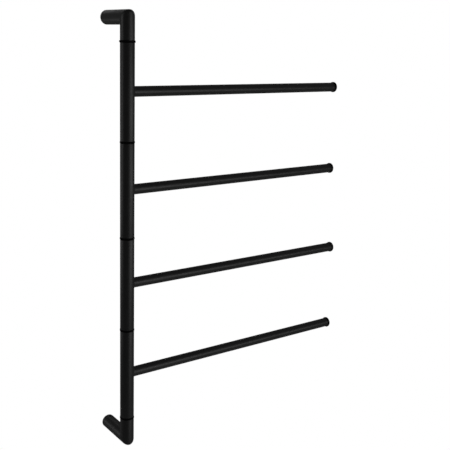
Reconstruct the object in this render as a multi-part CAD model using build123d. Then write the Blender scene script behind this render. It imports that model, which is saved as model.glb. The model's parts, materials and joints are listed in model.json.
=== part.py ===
from build123d import *

import os

# Swivel towel rack for a wall: a round post made of two elbow brackets with four
# swivel tubes stacked between them, and one long round rail on each swivel tube.
#
# Millimetres. +X runs to the right along the wall, +Y into the wall, +Z up.
# The origin lies on the wall face, midway between the two wall screws.

# Post and its seams
POST_R = 11.0
AXIS_TO_WALL = 70.0
TUBE_COUNT = 4
SEAM_PITCH = 148.0
WASHER_T = 3.0
WASHER_R = 11.45
TOP_WASHER_R = 12.1
WASHER_EDGE_R = 0.8
AXIAL_GAP = 0.15

# Swivel tubes, bushes and spindle
TUBE_WALL = 1.5
TUBE_CHAMFER = 0.3
BUSH_LENGTH = 16.0
SPINDLE_R = 5.0
SPINDLE_THREAD_R = 4.0
SPINDLE_CHAMFER = 0.6
RUNNING_CLEARANCE = 0.05
WASHER_BORE_R = 5.15

# Elbow brackets
ELBOW_WALL = 2.0
ELBOW_LEG = 35.0
ELBOW_CORNER_R = 5.0
INSERT_LENGTH = 19.0
INSERT_THREAD_DEPTH = 15.0
SLIP_CLEARANCE = 0.05

# Wall spigots and grub screws
SPIGOT_LENGTH = 13.0
WALL_SCREW_R = 2.25
SCREW_HEAD_R = 4.5
SCREW_SEAT_Y = 5.0
GRUB_R = 2.0
GRUB_LENGTH = 5.0
GRUB_SOCKET_FLATS = 2.0
GRUB_SOCKET_DEPTH = 2.2
SPIGOT_GRUB_Y = 7.5
INSERT_GRUB_Z = 9.0
GRUB_SUNK = 0.4

# Rails and end caps
RAIL_R = 8.0
RAIL_WALL = 1.2
RAIL_REACH = 450.0
RAIL_ABOVE_MIDDLE = 1.3
WELD_R = 1.5
CAP_R = 9.2
CAP_RIM = 2.4
CAP_DOME = 1.8
CAP_EDGE_R = 0.9
CAP_PLUG_LENGTH = 12.0
CAP_PLUG_CHAMFER = 1.0
REST_ANGLES = (7.4, 7.2, 5.8, 5.7)

# Sizes that follow from those above
BORE_R = POST_R - ELBOW_WALL
TUBE_BORE_R = POST_R - TUBE_WALL
STACK_HALF = SEAM_PITCH * TUBE_COUNT / 2
STUB_Z = STACK_HALF + ELBOW_LEG
TUBE_LENGTH = SEAM_PITCH - WASHER_T - 2 * AXIAL_GAP
CAP_LENGTH = CAP_RIM + CAP_DOME


def post_rod(radius, length, z):
    """Solid rod on the post axis, centred on height z."""
    return Pos(0, -AXIS_TO_WALL, z) * Cylinder(radius, length)


def along_y(radius, y_from, y_to, z=0.0):
    """Solid rod parallel to Y through x = 0."""
    rod = Rot(90, 0, 0) * Cylinder(radius, y_to - y_from)
    return Pos(0, (y_from + y_to) / 2, z) * rod


def grub_screw():
    """Socket grub screw along +Z, its drive socket in the top face at z = 0."""
    body = Pos(0, 0, -GRUB_LENGTH / 2) * Cylinder(GRUB_R, GRUB_LENGTH)
    body = chamfer(body.edges().filter_by(GeomType.CIRCLE), 0.3)
    socket = extrude(RegularPolygon(GRUB_SOCKET_FLATS / 2, 6, major_radius=False), -GRUB_SOCKET_DEPTH)
    return body - socket


def elbow_grub_places():
    """Where the upper elbow's two grub screws sit, their sockets facing out."""
    under_stub = Pos(0, -SPIGOT_GRUB_Y, STUB_Z - POST_R + GRUB_SUNK) * Rot(180, 0, 0)
    leg_z = STACK_HALF + WASHER_T / 2 + INSERT_GRUB_Z
    behind_leg = Pos(0, -AXIS_TO_WALL + POST_R - GRUB_SUNK, leg_z) * Rot(-90, 0, 0)
    return under_stub, behind_leg


def elbow_solid(radius, corner_r, leg_end_z):
    """Mitred right-angle rod: up the post axis, then back to the wall."""
    leg_top = STUB_Z + radius
    leg = post_rod(radius, leg_top - leg_end_z, (leg_top + leg_end_z) / 2)
    stub = along_y(radius, -AXIS_TO_WALL - radius, 0, STUB_Z)
    mitre_plane = Plane(
        origin=(0, -AXIS_TO_WALL, STUB_Z), x_dir=(1, 0, 0), z_dir=(0, 1, 1)
    )
    leg_part = split(leg, bisect_by=mitre_plane, keep=Keep.BOTTOM)
    stub_part = split(stub, bisect_by=mitre_plane, keep=Keep.TOP)
    elbow = leg_part + stub_part
    depth = AXIS_TO_WALL + radius
    height = leg_top - leg_end_z
    envelope = Pos(0, -depth / 2, leg_end_z + height / 2) * Box(4 * radius, depth, height)
    outer_edge = envelope.edges().filter_by(Axis.X).sort_by(Axis.Z)[-2:].sort_by(Axis.Y)[0]
    return elbow & fillet(outer_edge, corner_r)


def top_elbow():
    """Hollow upper elbow, with threaded holes for its grub screws."""
    leg_end = STACK_HALF + WASHER_T / 2
    shell = elbow_solid(POST_R, ELBOW_CORNER_R, leg_end)
    shell -= elbow_solid(BORE_R, ELBOW_CORNER_R - ELBOW_WALL, leg_end)
    for place in elbow_grub_places():
        shell -= place * Cylinder(GRUB_R, 4 * ELBOW_WALL)
    return shell


def spindle_insert():
    """Plug in the upper elbow's leg, threaded for the end of the spindle."""
    leg_end = STACK_HALF + WASHER_T / 2
    radius = BORE_R - SLIP_CLEARANCE
    plug = post_rod(radius, INSERT_LENGTH, leg_end + INSERT_LENGTH / 2)
    plug = chamfer(plug.edges().group_by(Axis.Z)[-1], 0.8)
    thread = post_rod(SPINDLE_THREAD_R, INSERT_THREAD_DEPTH, leg_end + INSERT_THREAD_DEPTH / 2)
    plug -= thread
    screw_hole = elbow_grub_places()[1] * Cylinder(GRUB_R, 2 * GRUB_LENGTH)
    return plug - screw_hole


def wall_spigot():
    """Round seat that is screwed to the wall; the upper elbow slides over it."""
    radius = BORE_R - SLIP_CLEARANCE
    seat = along_y(radius, -SPIGOT_LENGTH, 0, STUB_Z)
    seat = chamfer(seat.edges().group_by(Axis.Y)[0], 0.8)
    seat -= along_y(WALL_SCREW_R, -SPIGOT_LENGTH, 0, STUB_Z)
    seat -= along_y(SCREW_HEAD_R, -SPIGOT_LENGTH, -SCREW_SEAT_Y, STUB_Z)
    sink_depth = SCREW_HEAD_R - WALL_SCREW_R
    sink = Cone(WALL_SCREW_R, SCREW_HEAD_R, sink_depth)
    seat -= Pos(0, -SCREW_SEAT_Y + sink_depth / 2, STUB_Z) * Rot(90, 0, 0) * sink
    screw_hole = elbow_grub_places()[0] * Cylinder(GRUB_R, 2 * GRUB_LENGTH)
    return seat - screw_hole


def grub_screws():
    """The upper elbow's two grub screws."""
    return Compound([place * grub_screw() for place in elbow_grub_places()])


def lower(shape):
    """The same piece for the lower elbow, mirrored through the rack's middle."""
    return mirror(shape, about=Plane.XY)


def spindle():
    """Steel rod through the whole stack, turned down for its threads at both ends."""
    shaft = post_rod(SPINDLE_R, 2 * STACK_HALF + WASHER_T, 0)
    overall = 2 * (STACK_HALF + WASHER_T / 2 + INSERT_THREAD_DEPTH - 1)
    threads = post_rod(SPINDLE_THREAD_R, overall, 0)
    threads = chamfer(threads.edges().filter_by(GeomType.CIRCLE), SPINDLE_CHAMFER)
    rod = shaft + threads
    for place in elbow_grub_places()[1:]:
        notch = place * Cylinder(GRUB_R, 2 * GRUB_LENGTH)
        rod -= notch
        rod -= lower(notch)
    return rod


def seam_washer(index):
    """Rounded thrust washer at a seam; the uppermost stands proud of the post."""
    radius = TOP_WASHER_R if index == 0 else WASHER_R
    z = STACK_HALF - index * SEAM_PITCH
    disc = post_rod(radius, WASHER_T, z)
    disc = fillet(disc.edges().filter_by(GeomType.CIRCLE), WASHER_EDGE_R)
    return disc - post_rod(WASHER_BORE_R, WASHER_T, z)


def tube_middle_z(index):
    return STACK_HALF - (index + 0.5) * SEAM_PITCH


def swivel_tube(index):
    """Section of the post that turns on the spindle."""
    z = tube_middle_z(index)
    outside = post_rod(POST_R, TUBE_LENGTH, z)
    outside = chamfer(outside.edges().filter_by(GeomType.CIRCLE), TUBE_CHAMFER)
    return outside - post_rod(TUBE_BORE_R, TUBE_LENGTH, z)


def bush(index, side):
    """Plastic bush in one end of a swivel tube; side is +1 above and -1 below."""
    z = tube_middle_z(index) + side * (TUBE_LENGTH - BUSH_LENGTH) / 2
    plug = post_rod(TUBE_BORE_R, BUSH_LENGTH, z)
    return plug - post_rod(SPINDLE_R + RUNNING_CLEARANCE, BUSH_LENGTH, z)


def at_arm(index, shape):
    """Move a piece made along +X from the post axis to its arm, at its rest angle."""
    height = tube_middle_z(index) + RAIL_ABOVE_MIDDLE
    return Pos(0, -AXIS_TO_WALL, height) * Rot(0, 0, REST_ANGLES[index]) * shape


def along_x(radius, x_from, x_to):
    """Solid rod along +X from the post axis."""
    return Pos((x_from + x_to) / 2, 0, 0) * Rot(0, 90, 0) * Cylinder(radius, x_to - x_from)


def rail(index):
    """Straight round tube, cut to fit the swivel tube, with its weld blended in."""
    tube_end = RAIL_REACH - CAP_LENGTH
    post = Cylinder(POST_R, 6 * RAIL_R)
    joined = post + along_x(RAIL_R, 0, tube_end)
    root_edge = joined.edges().filter_by_position(Axis.X, 1.0, POST_R + 0.1)
    root_edge = root_edge.filter_by_position(Axis.Z, -RAIL_R - 0.1, RAIL_R + 0.1)
    tube = fillet(root_edge, WELD_R) - post
    tube -= along_x(RAIL_R - RAIL_WALL, 0, tube_end)
    return at_arm(index, tube)


def end_cap(index):
    """Rounded end cap, a little wider than its rail, with a plug inside the tube."""
    tube_end = RAIL_REACH - CAP_LENGTH
    plug_end = tube_end - CAP_PLUG_LENGTH
    plug_r = RAIL_R - RAIL_WALL
    rim_end = tube_end + CAP_RIM
    inner_edge = (tube_end, CAP_R - CAP_EDGE_R)
    outer_edge = (tube_end + CAP_EDGE_R, CAP_R)
    outline = Polyline(
        (RAIL_REACH, 0),
        (plug_end, 0),
        (plug_end, plug_r - CAP_PLUG_CHAMFER),
        (plug_end + CAP_PLUG_CHAMFER, plug_r),
        (tube_end, plug_r),
        inner_edge,
    )
    outline += JernArc(inner_edge, (0, 1), CAP_EDGE_R, -90)
    outline += Line(outer_edge, (rim_end, CAP_R))
    dome_r = (CAP_R**2 + CAP_DOME**2) / (2 * CAP_DOME)
    outline += RadiusArc((rim_end, CAP_R), (RAIL_REACH, 0), dome_r)
    profile = Plane.XZ * make_face(outline)
    return at_arm(index, revolve(profile, Axis.X))


def all_pieces():
    """Every piece by its node name."""
    pieces = {
        "top_elbow": top_elbow(),
        "top_spindle_insert": spindle_insert(),
        "top_wall_spigot": wall_spigot(),
        "top_grub_screws": grub_screws(),
        "spindle": spindle(),
    }
    for name in ("elbow", "spindle_insert", "wall_spigot", "grub_screws"):
        pieces["bottom_" + name] = lower(pieces["top_" + name])
    for index in range(TUBE_COUNT + 1):
        pieces[f"seam_washer_{index + 1}"] = seam_washer(index)
    for index in range(TUBE_COUNT):
        number = index + 1
        pieces[f"swivel_tube_{number}"] = swivel_tube(index)
        pieces[f"upper_bush_{number}"] = bush(index, 1)
        pieces[f"lower_bush_{number}"] = bush(index, -1)
        pieces[f"rail_{number}"] = rail(index)
        pieces[f"end_cap_{number}"] = end_cap(index)
    return pieces


os.makedirs("parts", exist_ok=True)
for node, piece in all_pieces().items():
    export_step(piece, f"parts/{node}.step")
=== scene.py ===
import json
import math

import bmesh
import bpy
from bpy.props import FloatProperty, FloatVectorProperty, IntProperty, PointerProperty
from bpy.types import Operator, Panel, PropertyGroup
from mathutils import Matrix, Vector


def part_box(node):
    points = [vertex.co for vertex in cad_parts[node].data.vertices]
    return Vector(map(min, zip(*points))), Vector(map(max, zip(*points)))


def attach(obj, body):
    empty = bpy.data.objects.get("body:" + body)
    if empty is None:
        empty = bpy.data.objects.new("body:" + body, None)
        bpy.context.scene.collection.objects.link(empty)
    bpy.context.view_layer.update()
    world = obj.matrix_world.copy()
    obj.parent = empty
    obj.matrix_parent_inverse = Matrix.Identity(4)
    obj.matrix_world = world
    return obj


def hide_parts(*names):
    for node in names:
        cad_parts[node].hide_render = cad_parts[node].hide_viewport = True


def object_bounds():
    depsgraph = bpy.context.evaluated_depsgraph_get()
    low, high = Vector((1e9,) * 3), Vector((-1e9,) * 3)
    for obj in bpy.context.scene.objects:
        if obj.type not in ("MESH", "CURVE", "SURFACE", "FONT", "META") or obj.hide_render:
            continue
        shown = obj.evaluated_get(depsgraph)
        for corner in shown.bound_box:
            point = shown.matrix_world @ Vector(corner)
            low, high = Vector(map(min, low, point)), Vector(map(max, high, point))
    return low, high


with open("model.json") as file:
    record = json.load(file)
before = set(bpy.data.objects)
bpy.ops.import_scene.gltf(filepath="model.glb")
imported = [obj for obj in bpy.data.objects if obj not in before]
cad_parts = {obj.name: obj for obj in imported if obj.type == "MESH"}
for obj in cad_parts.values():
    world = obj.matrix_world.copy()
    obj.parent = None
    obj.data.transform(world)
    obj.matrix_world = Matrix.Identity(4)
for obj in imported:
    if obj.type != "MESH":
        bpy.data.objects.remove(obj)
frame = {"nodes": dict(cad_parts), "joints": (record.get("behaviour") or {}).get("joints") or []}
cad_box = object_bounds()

bl_info = {
    "name": "Swivel Towel Rack",
    "version": (1, 0, 0),
    "blender": (4, 5, 0),
    "location": "View3D > Sidebar > Towel Rack",
    "description": "Finishes a wall-mounted towel rack with four swinging rails",
    "category": "Add Mesh",
}

MM = 0.001
QUARTER_TURN = math.pi / 2

# Faces along the curves of the pieces, and the angle past which an edge is drawn sharp
CORNER_STEPS = 12
WELD_STEPS = 6
DOME_STEPS = 10
SCREW_STEPS = 36
DRILL_STEPS = 40
SHARP_ANGLE = math.radians(35)
# Points nearer than MERGE are one point, and points within NEAR of a place lie on it
MERGE = 1e-7
NEAR = 1e-6

GRUB_RADIUS = 2.0 * MM
GRUB_LENGTH = 5.0 * MM
GRUB_CHAMFER = 0.3 * MM
# Between a grub screw and the wall of its hole
GRUB_PLAY = 0.03 * MM
SOCKET_FLATS = 2.0 * MM
SOCKET_DEPTH = 2.2 * MM
SOCKET_SIDE_ANGLE = math.radians(60)
# How far a pressed washer fills the slack on each side of it
WASHER_SQUEEZE = 0.13 * MM
# How deep a rail's root sits in the skin of its swivel tube
ROOT_SUNK = 0.2 * MM

# How much a finish's roughness drifts either way, and a bump's depth in grain sizes
ROUGHNESS_DRIFT = 0.1
GRAIN_DEPTH = 0.3
# The middle part of a noise that is stretched over the whole range of patches
PATCH_LOW, PATCH_HIGH = 0.3, 0.7
MARK_SPACING = 0.35 * MM

FLOOR_HALF_SIZE = 8.0
FLOOR_TINT = (0.85, 0.85, 0.85, 1)
WHITE = (1, 1, 1, 1)
SENSOR_WIDTH = 36
# Name, azimuth and elevation in degrees, distance in metres, width and height, power in watts
SOFTBOXES = (
    ("right_softbox", 24, -5, 2.2, (1.5, 2.0), 6.8),
    ("right_core", 45, -4.5, 2.1, (1.9, 0.55), 4.1),
    ("left_softbox", -115, 5, 2.2, (1.0, 1.6), 4.0),
    ("rear_upper", -168, 31, 2.35, (1.5, 0.4), 0.15),
    ("rear_window", 174, 26, 2.1, (0.7, 0.4), 0.45),
    ("rear_lower", -143, -12, 2.1, (1.2, 0.4), 0.8),
)

ARMS = range(1, len(frame["joints"]) + 1)
WASHERS = range(1, len(frame["joints"]) + 2)
SIDES = {"top": 1, "bottom": -1}


# ---- Places and sizes read from the frame ----


def half_width(node):
    """The outside radius of a node that stands round the post's axis."""
    low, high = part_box(node)
    return (high.x - low.x) / 2


def post_axis():
    """The post's axis at the height of the rack's middle."""
    low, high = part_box("spindle")
    return Vector(((low.x + high.x) / 2, (low.y + high.y) / 2, 0))


def points_of(node):
    """The points of a CAD node's mesh."""
    return [vertex.co for vertex in frame["nodes"][node].data.vertices]


def rail_end(number):
    """Centre of the open end of a rail."""
    axis = post_axis()
    points = points_of(f"rail_{number}")
    band = 0.1 * MM
    reach = max((point - axis).xy.length for point in points)
    ring = [point for point in points if (point - axis).xy.length > reach - band]
    return sum(ring, Vector()) / len(ring)


def tube_reach(number):
    """From the post's axis to the open end of a rail."""
    return (rail_end(number) - post_axis()).xy.length


def arm_place(number):
    """The transform that puts a piece drawn along +X from the post's axis on its arm."""
    axis = post_axis()
    end = rail_end(number)
    turn = math.atan2(end.y - axis.y, end.x - axis.x)
    return Matrix.Translation((axis.x, axis.y, end.z)) @ Matrix.Rotation(turn, 4, "Z")


def cap_reach(number):
    """From the post's axis to the outermost point of an end cap."""
    unturned = arm_place(number).inverted()
    return max((unturned @ point).x for point in points_of(f"end_cap_{number}"))


# ---- Settings ----


def length(name, description, millimetres):
    """A length setting whose default is given in millimetres."""
    return FloatProperty(
        name=name,
        description=description,
        default=millimetres * MM,
        min=0,
        precision=4,
        unit="LENGTH",
    )


def share(name, description, default):
    """A setting from 0 to 1."""
    return FloatProperty(
        name=name, description=description, default=default, min=0, max=1, subtype="FACTOR"
    )


def colour(name, description, default):
    """A colour setting."""
    return FloatVectorProperty(
        name=name, description=description, default=default, min=0, max=1, size=3, subtype="COLOR"
    )


class TowelRackSizes(PropertyGroup):
    """The sizes of the pieces that the frame's boxes don't give"""

    post_wall: length("Post wall", "Wall thickness of the swivel tubes", 1.5)
    elbow_wall: length("Elbow wall", "Wall thickness of the elbow brackets", 2.0)
    outer_corner: length("Outer corner", "Rounding of an elbow's outer corner", 5.0)
    inner_corner: length("Inner corner", "Rounding of an elbow's inner corner", 1.0)
    tube_edge: length("Tube edge", "Rounding of the ends of the tubes and elbows", 0.3)
    rail_radius: length("Rail radius", "Outside radius of the rails", 8.0)
    rail_wall: length("Rail wall", "Wall thickness of the rails", 1.2)
    weld: length("Weld", "Radius of the dressed weld at a rail's root", 1.5)
    cap_rim: length("Cap rim", "Thickness of an end cap at its edge", 2.4)
    cap_edge: length("Cap edge", "Rounding of an end cap's edge", 0.9)
    cap_plug: length("Cap plug", "How far a cap's plug reaches into its rail", 12.0)
    washer_edge: length("Washer edge", "Rounding of a washer's edge", 0.8)
    washer_bore: length("Washer bore", "Radius of a washer's hole", 5.15)
    steps: IntProperty(name="Steps", description="Faces round a tube", default=96, min=24, max=256)


class TowelRackFinish(PropertyGroup):
    """The colours of the finishes, and the roughness of the coat"""

    coat: colour("Powder coat", "Colour of the satin powder coat", (0.0122, 0.0122, 0.0123))
    coat_roughness: share("Coat roughness", "Roughness of the powder coat", 0.41)
    cap: colour("End caps", "Colour of the moulded end caps", (0.0012, 0.0012, 0.0012))
    washer: colour("Washers", "Colour of the nylon seam washers", (0.0028, 0.0028, 0.0028))
    bush: colour("Bushes", "Colour of the acetal bushes", (0.78, 0.77, 0.73))
    steel: colour("Steel", "Colour of the turned steel", (0.56, 0.57, 0.58))
    oxide: colour("Black oxide", "Colour of the blackened screws", (0.035, 0.035, 0.04))


class TowelRackStage(PropertyGroup):
    """The camera, the floor and the strength of the lights"""

    camera_place: FloatVectorProperty(
        name="Camera place",
        description="Where the camera stands, from the middle between the wall fixings",
        default=(-0.5739, -1.2209, 0.3020),
        size=3,
        subtype="TRANSLATION",
    )
    heading: FloatProperty(
        name="Heading",
        description="How far the camera turns right of square to the wall",
        default=math.radians(33.2),
        subtype="ANGLE",
    )
    tilt: FloatProperty(
        name="Tilt",
        description="How far the camera looks down",
        default=math.radians(12.25),
        subtype="ANGLE",
    )
    roll: FloatProperty(
        name="Roll",
        description="How far the camera leans",
        default=math.radians(1.5),
        subtype="ANGLE",
    )
    lens: FloatProperty(
        name="Lens", description="Focal length in millimetres", default=68.21, min=1
    )
    floor_drop: FloatProperty(
        name="Floor drop",
        description="From the rack's middle down to the floor",
        default=1.5,
        unit="LENGTH",
    )
    room: FloatProperty(
        name="Room light", description="Strength of the even light of the room", default=0.085, min=0
    )
    power: FloatProperty(
        name="Softbox power", description="Scales the power of every softbox", default=1.0, min=0
    )


# ---- Shapes ----


def finished(name, bm, node, body, material):
    """Turns a bmesh into the smooth, closed piece that stands for a node."""
    bmesh.ops.remove_doubles(bm, verts=bm.verts, dist=MERGE)
    bmesh.ops.recalc_face_normals(bm, faces=bm.faces)
    mesh = bpy.data.meshes.new(name)
    bm.to_mesh(mesh)
    bm.free()
    mesh.materials.append(material)
    mesh.shade_smooth()
    mesh.set_sharp_from_angle(angle=SHARP_ANGLE)
    piece = bpy.data.objects.new(name, mesh)
    bpy.context.scene.collection.objects.link(piece)
    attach(piece, body)
    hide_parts(node)
    return piece


def grow(bm, steps, places):
    """Grows a skin from ring to ring and returns the edges of each.

    Each place takes a point of the unit circle to its point of that ring."""
    across = bm.verts.layers.float.get("across") or bm.verts.layers.float.new("across")
    up = bm.verts.layers.float.get("up") or bm.verts.layers.float.new("up")
    points = bmesh.ops.create_circle(bm, segments=steps, radius=1)["verts"]
    for point in points:
        point[across], point[up] = point.co.x, point.co.y
    edges = list({edge for point in points for edge in point.link_edges})
    rings = []
    for number, place in enumerate(places):
        if number:
            made = bmesh.ops.extrude_edge_only(bm, edges=edges)["geom"]
            points = [item for item in made if isinstance(item, bmesh.types.BMVert)]
            fresh = set(points)
            touched = {edge for point in points for edge in point.link_edges}
            edges = [edge for edge in touched if fresh.issuperset(edge.verts)]
        for point in points:
            point.co = place(point[across], point[up])
        rings.append(edges)
    return rings


def grow_shell(bm, steps, places):
    """Grows a closed skin that comes back to its first ring."""
    rings = grow(bm, steps, [*places, places[0]])
    bmesh.ops.remove_doubles(bm, verts=bm.verts, dist=MERGE)
    return rings


def soften(bm, edges, offset, segments=4):
    """Rounds edges."""
    bmesh.ops.bevel(
        bm,
        geom=edges,
        offset=offset,
        offset_type="OFFSET",
        segments=segments,
        profile=0.5,
        affect="EDGES",
        material=-1,
    )


def lathe(outline, steps, closed=True):
    """Spins an outline of (radius, height) points round Z."""
    bm = bmesh.new()
    points = [bm.verts.new((radius, 0, height)) for radius, height in outline]
    for one, other in zip(points, points[1:]):
        bm.edges.new((one, other))
    if closed:
        bm.edges.new((points[-1], points[0]))
    bmesh.ops.spin(
        bm,
        geom=bm.verts[:] + bm.edges[:],
        cent=(0, 0, 0),
        axis=(0, 0, 1),
        angle=math.tau,
        steps=steps,
        use_merge=True,
    )
    bmesh.ops.remove_doubles(bm, verts=bm.verts, dist=MERGE)
    return bm


def soften_rings(bm, places, offset):
    """Rounds the edges of a lathed shape that run round it at each (radius, height)."""

    def lies_on(point, radius, height):
        off_radius = abs(point.co.xy.length - radius)
        return off_radius < NEAR and abs(point.co.z - height) < NEAR

    for radius, height in places:
        found = [e for e in bm.edges if all(lies_on(point, radius, height) for point in e.verts)]
        soften(bm, found, offset)


def sleeve(bore, radius, low, high, edge, steps):
    """A short or long tube on Z with softened outer edges."""
    bm = lathe([(bore, low), (radius, low), (radius, high), (bore, high)], steps)
    soften_rings(bm, [(radius, low), (radius, high)], edge)
    return bm


def on_post(bm):
    """Moves a shape from the Z axis to the post's axis."""
    bmesh.ops.translate(bm, verts=bm.verts, vec=post_axis())
    return bm


def elbow_places(sizes, radius, trim, leg_end, stub):
    """Rings up the leg, round the mitred corner and back to the wall."""
    axis_y = post_axis().y
    outer, inner = sizes.outer_corner - trim, sizes.inner_corner + trim

    def leg(across, inward):
        return across * radius, axis_y + inward * radius, leg_end

    def corner(angle):
        def place(across, inward):
            rounding = outer + (inner - outer) * (1 + inward) / 2
            y = axis_y + inward * radius + rounding * (1 - math.cos(angle))
            z = stub - inward * radius - rounding * (1 - math.sin(angle))
            return across * radius, y, z

        return place

    def wall(across, inward):
        return across * radius, 0, stub - inward * radius

    turns = [corner(QUARTER_TURN * step / CORNER_STEPS) for step in range(CORNER_STEPS + 1)]
    return [leg, *turns, wall]


def elbow(sizes, radius, leg_end, stub):
    """The upper elbow: from the lower end of its leg to its stub's end on the wall.

    The height of the stub's axis is stub."""
    bm = bmesh.new()
    bore = radius - sizes.elbow_wall
    outside = elbow_places(sizes, radius, 0, leg_end, stub)
    inside = elbow_places(sizes, bore, sizes.elbow_wall, leg_end, stub)
    rings = grow_shell(bm, sizes.steps, [*reversed(inside), *outside])
    soften(bm, rings[len(inside)] + rings[-2], sizes.tube_edge)
    return bm


def drill(piece, place, radius, depth):
    """Cuts a round hole along the screw axis of place."""
    bm = bmesh.new()
    bmesh.ops.create_cone(
        bm,
        cap_ends=True,
        segments=DRILL_STEPS,
        radius1=radius,
        radius2=radius,
        depth=depth,
        matrix=place,
    )
    mesh = bpy.data.meshes.new("drill")
    bm.to_mesh(mesh)
    bm.free()
    bit = bpy.data.objects.new("drill", mesh)
    bpy.context.scene.collection.objects.link(bit)
    cut = piece.modifiers.new("drilled", "BOOLEAN")
    cut.operation = "DIFFERENCE"
    cut.solver = "EXACT"
    cut.object = bit
    graph = bpy.context.evaluated_depsgraph_get()
    solid = piece.data
    piece.data = bpy.data.meshes.new_from_object(piece.evaluated_get(graph))
    piece.modifiers.clear()
    bpy.data.meshes.remove(solid)
    bpy.data.objects.remove(bit)


def grub_places(end):
    """Where an elbow's two grub screws sit: local +Z comes out of the drive socket."""
    side = SIDES[end]
    low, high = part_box(f"{end}_grub_screws")
    inner, outer = (low.z, high.z) if side > 0 else (high.z, low.z)
    under_stub = Vector((0, high.y - GRUB_RADIUS, outer - side * GRUB_LENGTH))
    behind_leg = Vector((0, low.y + GRUB_LENGTH, inner + side * GRUB_RADIUS))
    away_from_stub = Matrix.Rotation(math.pi if side > 0 else 0, 4, "X")
    to_the_wall = Matrix.Rotation(-QUARTER_TURN, 4, "X")
    return [
        Matrix.Translation(under_stub) @ away_from_stub,
        Matrix.Translation(behind_leg) @ to_the_wall,
    ]


def grub_screw(bm, screw_place):
    """A socket screw whose drive end is at its own z = 0, facing +Z."""
    end_radius = GRUB_RADIUS - GRUB_CHAMFER

    def hexagon(height):
        def place(across, up):
            angle = math.atan2(up, across) % SOCKET_SIDE_ANGLE - SOCKET_SIDE_ANGLE / 2
            size = SOCKET_FLATS / 2 / math.cos(angle)
            return screw_place @ Vector((across * size, up * size, height))

        return place

    def circle(radius, height):
        return lambda across, up: screw_place @ Vector((across * radius, up * radius, height))

    places = [
        hexagon(-SOCKET_DEPTH),
        hexagon(0),
        circle(end_radius, 0),
        circle(GRUB_RADIUS, -GRUB_CHAMFER),
        circle(GRUB_RADIUS, GRUB_CHAMFER - GRUB_LENGTH),
        circle(end_radius, -GRUB_LENGTH),
    ]
    rings = grow(bm, SCREW_STEPS, places)
    for open_end in (rings[0], rings[-1]):
        bmesh.ops.edgeloop_fill(bm, edges=open_end)


def rail(sizes, post_radius, reach):
    """A round tube along +X whose root is cut to the post and blended into it by its weld."""
    bore = sizes.rail_radius - sizes.rail_wall

    def root(radius, gap):
        def place(across, up):
            post_skin = math.sqrt(post_radius**2 - (across * radius) ** 2)
            return post_skin + gap, across * radius, up * radius

        return place

    def tip(radius):
        return lambda across, up: (reach, across * radius, up * radius)

    def weld(angle):
        swell = sizes.weld * (1 - math.cos(angle))
        return root(sizes.rail_radius + swell, sizes.weld * (1 - math.sin(angle)))

    bm = bmesh.new()
    swells = [weld(QUARTER_TURN * (1 - step / WELD_STEPS)) for step in range(WELD_STEPS + 1)]
    foot = root(sizes.rail_radius + sizes.weld, -ROOT_SUNK)
    outer = [foot, *swells, tip(sizes.rail_radius)]
    inner = [tip(bore), root(bore, -ROOT_SUNK)]
    rings = grow_shell(bm, sizes.steps, [*outer, *inner])
    soften(bm, rings[len(outer) - 1], sizes.tube_edge / 2, segments=2)
    return bm


def end_cap(sizes, radius, tube_end, reach):
    """A domed button on a plug, along +X, with its underside against the tube's end."""
    plug = sizes.rail_radius - sizes.rail_wall
    plug_end = tube_end - sizes.cap_plug
    shoulder = tube_end + sizes.cap_rim
    rise = reach - shoulder
    dome = (radius**2 + rise**2) / (2 * rise)
    span = math.asin(radius / dome)
    arc = [span * (1 - step / DOME_STEPS) for step in range(DOME_STEPS + 1)]
    outline = [
        (0, plug_end),
        (plug, plug_end),
        (plug, tube_end),
        (radius, tube_end),
        *((dome * math.sin(angle), reach - dome * (1 - math.cos(angle))) for angle in arc),
    ]
    # The last point of the arc is the pole, put exactly on the axis.
    outline[-1] = (0, reach)
    bm = lathe(outline, sizes.steps, closed=False)
    soften_rings(bm, [(plug, plug_end)], sizes.cap_edge)
    soften_rings(bm, [(radius, tube_end), (radius, shoulder)], sizes.cap_edge / 2)
    along_x = Matrix.Rotation(QUARTER_TURN, 3, "Y")
    bmesh.ops.rotate(bm, verts=bm.verts, cent=(0, 0, 0), matrix=along_x)
    return bm


# ---- Materials ----


def number_input(group, label, default):
    """Gives a node group a number to put in."""
    made = group.interface.new_socket(label, in_out="INPUT", socket_type="NodeSocketFloat")
    made.default_value = default


def number_output(group, label):
    """Gives a node group a number to put out."""
    group.interface.new_socket(label, in_out="OUTPUT", socket_type="NodeSocketFloat")


def ends_of(group):
    """The sockets that a group is given, and those that take its results."""
    given = group.nodes.new("NodeGroupInput").outputs
    result = group.nodes.new("NodeGroupOutput").inputs
    return given, result


def math_node(tree, operation, first, second=None):
    """A Math node of one or two terms, each a socket or a number; returns its result."""
    node = tree.nodes.new("ShaderNodeMath")
    node.operation = operation
    for term, place in ((first, node.inputs[0]), (second, node.inputs[1])):
        if isinstance(term, (int, float)):
            place.default_value = term
        elif term is not None:
            tree.links.new(term, place)
    return node.outputs[0]


def noise_node(tree, vector, scale, detail=2.0):
    """A Noise Texture; returns its value from 0 to 1."""
    node = tree.nodes.new("ShaderNodeTexNoise")
    node.inputs["Detail"].default_value = detail
    tree.links.new(vector, node.inputs["Vector"])
    tree.links.new(scale, node.inputs["Scale"])
    return node.outputs["Fac"]


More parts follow.
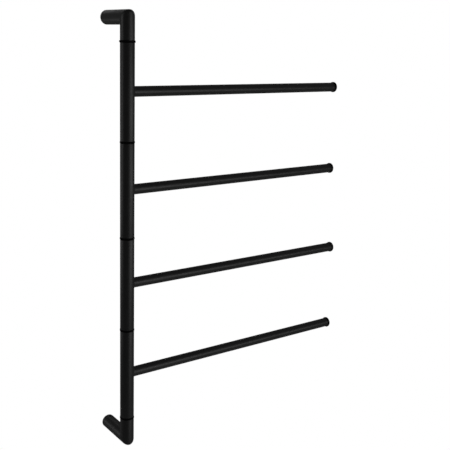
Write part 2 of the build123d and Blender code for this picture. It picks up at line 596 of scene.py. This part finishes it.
def surface_grain():
    """Group: fine bumps as Height, and slow uneven Patches from 0 to 1."""
    if "Surface grain" in bpy.data.node_groups:
        return bpy.data.node_groups["Surface grain"]
    group = bpy.data.node_groups.new("Surface grain", "ShaderNodeTree")
    number_input(group, "Grain size", 1 * MM)
    number_input(group, "Patch size", 20 * MM)
    number_output(group, "Height")
    number_output(group, "Patches")
    given, result = ends_of(group)
    point = group.nodes.new("ShaderNodeTexCoord").outputs["Object"]
    fine = noise_node(group, point, math_node(group, "DIVIDE", 1.0, given["Grain size"]))
    slow = noise_node(group, point, math_node(group, "DIVIDE", 1.0, given["Patch size"]), detail=3.0)
    spread = group.nodes.new("ShaderNodeMapRange")
    spread.inputs["From Min"].default_value = PATCH_LOW
    spread.inputs["From Max"].default_value = PATCH_HIGH
    group.links.new(slow, spread.inputs["Value"])
    group.links.new(spread.outputs["Result"], result["Patches"])
    group.links.new(fine, result["Height"])
    return group


def turning_marks():
    """Group: fine lathe marks round an axis, from the distances off it and along it."""
    if "Turning marks" in bpy.data.node_groups:
        return bpy.data.node_groups["Turning marks"]
    group = bpy.data.node_groups.new("Turning marks", "ShaderNodeTree")
    for label in ("First across", "Second across", "Along"):
        number_input(group, label, 0.0)
    number_input(group, "Mark spacing", MARK_SPACING)
    number_output(group, "Height")
    given, result = ends_of(group)
    first = math_node(group, "POWER", given["First across"], 2.0)
    second = math_node(group, "POWER", given["Second across"], 2.0)
    off_axis = math_node(group, "SQRT", math_node(group, "ADD", first, second))
    combined = group.nodes.new("ShaderNodeCombineXYZ")
    group.links.new(off_axis, combined.inputs["X"])
    group.links.new(given["Along"], combined.inputs["Y"])
    scale = math_node(group, "DIVIDE", 1.0, given["Mark spacing"])
    marks = noise_node(group, combined.outputs["Vector"], scale, detail=3.0)
    group.links.new(marks, result["Height"])
    return group


def shaded(
    name, tint, *, roughness, grain, patch, relief, contrast=0.2, metal=0.0, specular=0.5
):
    """A material whose colour and roughness drift in patches over a fine grain.

    Grain and patch are sizes, and relief is the strength of the grain's bump."""
    material = bpy.data.materials.new(name)
    material.use_nodes = True
    tree = material.node_tree
    shader = tree.nodes["Principled BSDF"].inputs
    shader["Metallic"].default_value = metal
    shader["Specular IOR Level"].default_value = specular
    texture = tree.nodes.new("ShaderNodeGroup")
    texture.node_tree = surface_grain()
    texture.inputs["Grain size"].default_value = grain
    texture.inputs["Patch size"].default_value = patch
    patches = texture.outputs["Patches"]
    tints = tree.nodes.new("ShaderNodeMix")
    tints.data_type = "RGBA"
    for place, factor in (("A", 1 - contrast), ("B", 1 + contrast)):
        # A colour Mix node's own sockets come after its number and vector ones.
        entry = [s for s in tints.inputs if s.name == place and s.type == "RGBA"][0]
        entry.default_value = (*(min(1, channel * factor) for channel in tint), 1)
    blended = [s for s in tints.outputs if s.type == "RGBA"][0]
    tree.links.new(patches, tints.inputs["Factor"])
    tree.links.new(blended, shader["Base Color"])
    rough = tree.nodes.new("ShaderNodeMapRange")
    rough.inputs["To Min"].default_value = roughness * (1 - ROUGHNESS_DRIFT)
    rough.inputs["To Max"].default_value = roughness * (1 + ROUGHNESS_DRIFT)
    tree.links.new(patches, rough.inputs["Value"])
    tree.links.new(rough.outputs["Result"], shader["Roughness"])
    bump = tree.nodes.new("ShaderNodeBump")
    bump.name = "Relief"
    bump.inputs["Strength"].default_value = relief
    bump.inputs["Distance"].default_value = grain * GRAIN_DEPTH
    tree.links.new(texture.outputs["Height"], bump.inputs["Height"])
    tree.links.new(bump.outputs["Normal"], shader["Normal"])
    return material


def satin_black_coat(finish):
    return shaded(
        "satin_black_coat",
        finish.coat,
        roughness=finish.coat_roughness,
        grain=0.8 * MM,
        patch=25 * MM,
        relief=0.05,
    )


def moulded_black_cap(finish):
    return shaded(
        "moulded_black_cap",
        finish.cap,
        roughness=0.4,
        grain=0.6 * MM,
        patch=8 * MM,
        relief=0.06,
        specular=0.2,
    )


def dark_washer_nylon(finish):
    return shaded(
        "dark_washer_nylon",
        finish.washer,
        roughness=0.75,
        grain=0.4 * MM,
        patch=5 * MM,
        relief=0.1,
        specular=0.1,
    )


def pale_bush_acetal(finish):
    return shaded(
        "pale_bush_acetal",
        finish.bush,
        roughness=0.4,
        grain=0.5 * MM,
        patch=6 * MM,
        relief=0.1,
        contrast=0.04,
    )


def blackened_screw_steel(finish):
    return shaded(
        "blackened_screw_steel",
        finish.oxide,
        roughness=0.4,
        grain=0.3 * MM,
        patch=3 * MM,
        relief=0.2,
        metal=1.0,
    )


def turned_steel(name, finish, across, along, centre=0.0):
    """Bright steel with lathe marks round an axis that lies along Y or Z.

    The distance off the axis is taken from X and from across, which is the other of the two.
    Heights are counted from the distance centre above and below the rack's middle."""
    material = shaded(
        name,
        finish.steel,
        roughness=0.26,
        grain=0.5 * MM,
        patch=9 * MM,
        relief=0.3,
        contrast=0.06,
        metal=1.0,
    )
    tree = material.node_tree
    point = tree.nodes.new("ShaderNodeTexCoord").outputs["Object"]
    parts = tree.nodes.new("ShaderNodeSeparateXYZ")
    tree.links.new(point, parts.inputs["Vector"])
    height = math_node(tree, "SUBTRACT", math_node(tree, "ABSOLUTE", parts.outputs["Z"]), centre)
    sources = {"Y": parts.outputs["Y"], "Z": height}
    marks = tree.nodes.new("ShaderNodeGroup")
    marks.node_tree = turning_marks()
    marks.inputs["Mark spacing"].default_value = MARK_SPACING
    offset = math_node(tree, "SUBTRACT", sources[across], post_axis().y if across == "Y" else 0.0)
    tree.links.new(parts.outputs["X"], marks.inputs["First across"])
    tree.links.new(offset, marks.inputs["Second across"])
    tree.links.new(sources[along], marks.inputs["Along"])
    tree.links.new(marks.outputs["Height"], tree.nodes["Relief"].inputs["Height"])
    return material


def shared(make, finish):
    """The one material that make builds, made when it is first asked for."""
    return bpy.data.materials.get(make.__name__) or make(finish)


def paint(node, material):
    """Gives a CAD node its material."""
    piece = frame["nodes"][node]
    for place in piece.material_slots:
        place.material = material


# ---- Operators ----


class TOWELRACK_OT_elbows(Operator):
    """Make the two mitred elbow brackets with their screw holes"""

    bl_idname = "towel_rack.elbows"
    bl_label = "Elbow Brackets"

    def execute(self, context):
        sizes = context.scene.towel_rack_sizes
        coat = shared(satin_black_coat, context.scene.towel_rack_finish)
        radius = half_width("top_elbow")
        for end, side in SIDES.items():
            low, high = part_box(f"{end}_elbow")
            leg_end = min(abs(low.z), abs(high.z))
            stub = max(abs(low.z), abs(high.z)) - radius
            bm = elbow(sizes, radius, leg_end, stub)
            bmesh.ops.scale(bm, verts=bm.verts, vec=(1, 1, side))
            node = f"{end}_elbow"
            piece = finished(f"{end}_elbow_bracket", bm, node, "post", coat)
            # The bit is centred on the screw's drive end, so half of it goes inwards.
            bit_length = 4 * sizes.elbow_wall
            for place in grub_places(end):
                drill(piece, place, GRUB_RADIUS + GRUB_PLAY, bit_length)
        return {"FINISHED"}


class TOWELRACK_OT_tubes(Operator):
    """Make the four swivel tubes of the post"""

    bl_idname = "towel_rack.tubes"
    bl_label = "Swivel Tubes"

    def execute(self, context):
        sizes = context.scene.towel_rack_sizes
        coat = shared(satin_black_coat, context.scene.towel_rack_finish)
        for number in ARMS:
            node = f"swivel_tube_{number}"
            low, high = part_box(node)
            radius = half_width(node)
            bore = radius - sizes.post_wall
            bm = sleeve(bore, radius, low.z, high.z, sizes.tube_edge, sizes.steps)
            finished(f"post_sleeve_{number}", on_post(bm), node, f"arm_{number}", coat)
        return {"FINISHED"}


class TOWELRACK_OT_rails(Operator):
    """Make the four rails, each cut to its swivel tube and welded on"""

    bl_idname = "towel_rack.rails"
    bl_label = "Rails"

    def execute(self, context):
        sizes = context.scene.towel_rack_sizes
        coat = shared(satin_black_coat, context.scene.towel_rack_finish)
        for number in ARMS:
            node = f"rail_{number}"
            bm = rail(sizes, half_width(f"swivel_tube_{number}"), tube_reach(number))
            bmesh.ops.transform(bm, matrix=arm_place(number), verts=bm.verts)
            finished(f"towel_rail_{number}", bm, node, f"arm_{number}", coat)
        return {"FINISHED"}


class TOWELRACK_OT_caps(Operator):
    """Make the moulded end caps of the rails"""

    bl_idname = "towel_rack.caps"
    bl_label = "End Caps"

    def execute(self, context):
        sizes = context.scene.towel_rack_sizes
        plastic = shared(moulded_black_cap, context.scene.towel_rack_finish)
        for number in ARMS:
            node = f"end_cap_{number}"
            low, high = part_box(node)
            radius = (high.z - low.z) / 2
            bm = end_cap(sizes, radius, tube_reach(number), cap_reach(number))
            bmesh.ops.transform(bm, matrix=arm_place(number), verts=bm.verts)
            finished(f"rail_cap_{number}", bm, node, f"arm_{number}", plastic)
        return {"FINISHED"}


class TOWELRACK_OT_washers(Operator):
    """Make the thrust washers at the seams of the post"""

    bl_idname = "towel_rack.washers"
    bl_label = "Seam Washers"

    def execute(self, context):
        sizes = context.scene.towel_rack_sizes
        nylon = shared(dark_washer_nylon, context.scene.towel_rack_finish)
        for number in WASHERS:
            node = f"seam_washer_{number}"
            low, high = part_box(node)
            # Pressed tight: the washer takes up the slack to the tubes on both sides.
            under, over = low.z - WASHER_SQUEEZE, high.z + WASHER_SQUEEZE
            radius = half_width(node)
            bm = sleeve(sizes.washer_bore, radius, under, over, sizes.washer_edge, sizes.steps)
            finished(f"thrust_washer_{number}", on_post(bm), node, "post", nylon)
        return {"FINISHED"}


class TOWELRACK_OT_screws(Operator):
    """Make the socket grub screws that hold the elbows"""

    bl_idname = "towel_rack.screws"
    bl_label = "Grub Screws"

    def execute(self, context):
        oxide = shared(blackened_screw_steel, context.scene.towel_rack_finish)
        for end in SIDES:
            bm = bmesh.new()
            for place in grub_places(end):
                grub_screw(bm, place)
            node = f"{end}_grub_screws"
            finished(f"{end}_socket_screws", bm, node, "post", oxide)
        return {"FINISHED"}


class TOWELRACK_OT_inner_parts(Operator):
    """Give the spindle, inserts, wall spigots and bushes their finishes"""

    bl_idname = "towel_rack.inner_parts"
    bl_label = "Inner Parts"

    def execute(self, context):
        finish = context.scene.towel_rack_finish
        low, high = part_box("top_wall_spigot")
        upright = turned_steel("turned_steel_upright", finish, "Y", "Z")
        level = turned_steel("turned_steel_level", finish, "Z", "Y", (low.z + high.z) / 2)
        paint("spindle", upright)
        for end in SIDES:
            paint(f"{end}_spindle_insert", upright)
            paint(f"{end}_wall_spigot", level)
        acetal = shared(pale_bush_acetal, finish)
        for number in ARMS:
            for place in ("upper", "lower"):
                paint(f"{place}_bush_{number}", acetal)
        return {"FINISHED"}


def shown_to_camera(tree, lit, seen, surface):
    """Sends seen to the surface for the camera alone, and lit for all other light."""
    path = tree.nodes.new("ShaderNodeLightPath")
    mix = tree.nodes.new("ShaderNodeMixShader")
    # The two shader inputs share one name, so they are told apart by number.
    tree.links.new(path.outputs["Is Camera Ray"], mix.inputs["Fac"])
    tree.links.new(lit, mix.inputs[1])
    tree.links.new(seen, mix.inputs[2])
    tree.links.new(mix.outputs["Shader"], surface)


def aimed(place, target):
    """The transform of a lamp at place that shines at target."""
    return Matrix.Translation(place) @ (target - place).to_track_quat("-Z", "Y").to_matrix().to_4x4()


def softbox(name, azimuth, elevation, distance, size, power):
    """A soft rectangular lamp aimed at the rack's middle.

    The azimuth runs from straight in front towards the rack's open side."""
    low, high = cad_box
    target = (Vector(low) + Vector(high)) / 2
    level = distance * math.cos(math.radians(elevation))
    offset = Vector((
        level * math.sin(math.radians(azimuth)),
        -level * math.cos(math.radians(azimuth)),
        distance * math.sin(math.radians(elevation)),
    ))
    lamp = bpy.data.lights.new(name, "AREA")
    lamp.shape = "RECTANGLE"
    lamp.size, lamp.size_y = size
    lamp.energy = power
    body = bpy.data.objects.new(name, lamp)
    body.matrix_world = aimed(target + offset, target)
    body.visible_camera = False
    bpy.context.scene.collection.objects.link(body)


class TOWELRACK_OT_stage(Operator):
    """Set up the floor, the studio lights and the camera"""

    bl_idname = "towel_rack.stage"
    bl_label = "Stage"

    def execute(self, context):
        stage = context.scene.towel_rack_stage
        self.lay_floor(stage)
        self.light_room(stage)
        for name, azimuth, elevation, distance, size, power in SOFTBOXES:
            softbox(name, azimuth, elevation, distance, size, power * stage.power)
        self.place_camera(context.scene, stage)
        context.scene.view_settings.view_transform = "Standard"
        return {"FINISHED"}

    def lay_floor(self, stage):
        bm = bmesh.new()
        level = Matrix.Translation((0, 0, -stage.floor_drop))
        bmesh.ops.create_grid(
            bm, x_segments=1, y_segments=1, size=FLOOR_HALF_SIZE, matrix=level
        )
        mesh = bpy.data.meshes.new("studio_floor")
        bm.to_mesh(mesh)
        bm.free()
        floor = bpy.data.objects.new("studio_floor", mesh)
        bpy.context.scene.collection.objects.link(floor)
        paper = bpy.data.materials.new("pale_paper")
        paper.use_nodes = True
        tree = paper.node_tree
        shader = tree.nodes["Principled BSDF"]
        shader.inputs["Base Color"].default_value = FLOOR_TINT
        shader.inputs["Roughness"].default_value = 1.0
        shader.inputs["Specular IOR Level"].default_value = 0.0
        evenly_lit = tree.nodes.new("ShaderNodeEmission")
        surface = tree.nodes["Material Output"].inputs["Surface"]
        shown_to_camera(tree, shader.outputs["BSDF"], evenly_lit.outputs["Emission"], surface)
        mesh.materials.append(paper)

    def light_room(self, stage):
        world = bpy.data.worlds.new("studio")
        world.use_nodes = True
        tree = world.node_tree
        plain = tree.nodes["Background"]
        plain.inputs["Color"].default_value = WHITE
        plain.inputs["Strength"].default_value = stage.room
        seen = tree.nodes.new("ShaderNodeBackground")
        seen.inputs["Color"].default_value = WHITE
        seen.inputs["Strength"].default_value = 1.0
        surface = tree.nodes["World Output"].inputs["Surface"]
        shown_to_camera(tree, plain.outputs["Background"], seen.outputs["Background"], surface)
        bpy.context.scene.world = world

    def place_camera(self, scene, stage):
        camera = bpy.data.cameras.new("camera")
        camera.lens = stage.lens
        camera.sensor_width = SENSOR_WIDTH
        body = bpy.data.objects.new("camera", camera)
        turn = (
            Matrix.Rotation(-stage.heading, 4, "Z")
            @ Matrix.Rotation(QUARTER_TURN - stage.tilt, 4, "X")
            @ Matrix.Rotation(stage.roll, 4, "Z")
        )
        body.matrix_world = Matrix.Translation(stage.camera_place) @ turn
        scene.collection.objects.link(body)
        scene.camera = body


# ---- Panel and registration ----


MAKERS = (
    TOWELRACK_OT_elbows,
    TOWELRACK_OT_tubes,
    TOWELRACK_OT_rails,
    TOWELRACK_OT_caps,
    TOWELRACK_OT_washers,
    TOWELRACK_OT_screws,
    TOWELRACK_OT_inner_parts,
    TOWELRACK_OT_stage,
)
SETTINGS = {
    "towel_rack_sizes": TowelRackSizes,
    "towel_rack_finish": TowelRackFinish,
    "towel_rack_stage": TowelRackStage,
}


class TOWELRACK_PT_sidebar(Panel):
    """The towel rack's settings and makers"""

    bl_idname = "TOWELRACK_PT_sidebar"
    bl_label = "Towel Rack"
    bl_space_type = "VIEW_3D"
    bl_region_type = "UI"
    bl_category = "Towel Rack"

    def draw(self, context):
        for maker in MAKERS:
            self.layout.operator(maker.bl_idname)
        for name in SETTINGS:
            settings = getattr(context.scene, name)
            box = self.layout.box()
            for key in settings.bl_rna.properties.keys():
                if key not in {"rna_type", "name"}:
                    box.prop(settings, key)


def register():
    for group in SETTINGS.values():
        bpy.utils.register_class(group)
    for maker in MAKERS:
        bpy.utils.register_class(maker)
    bpy.utils.register_class(TOWELRACK_PT_sidebar)
    for name, group in SETTINGS.items():
        setattr(bpy.types.Scene, name, PointerProperty(type=group))


def unregister():
    for name in SETTINGS:
        delattr(bpy.types.Scene, name)
    bpy.utils.unregister_class(TOWELRACK_PT_sidebar)
    for maker in reversed(MAKERS):
        bpy.utils.unregister_class(maker)
    for group in SETTINGS.values():
        bpy.utils.unregister_class(group)


def main():
    register()
    for maker in MAKERS:
        group, name = maker.bl_idname.split(".")
        getattr(getattr(bpy.ops, group), name)()


if __name__ == "__main__":
    main()
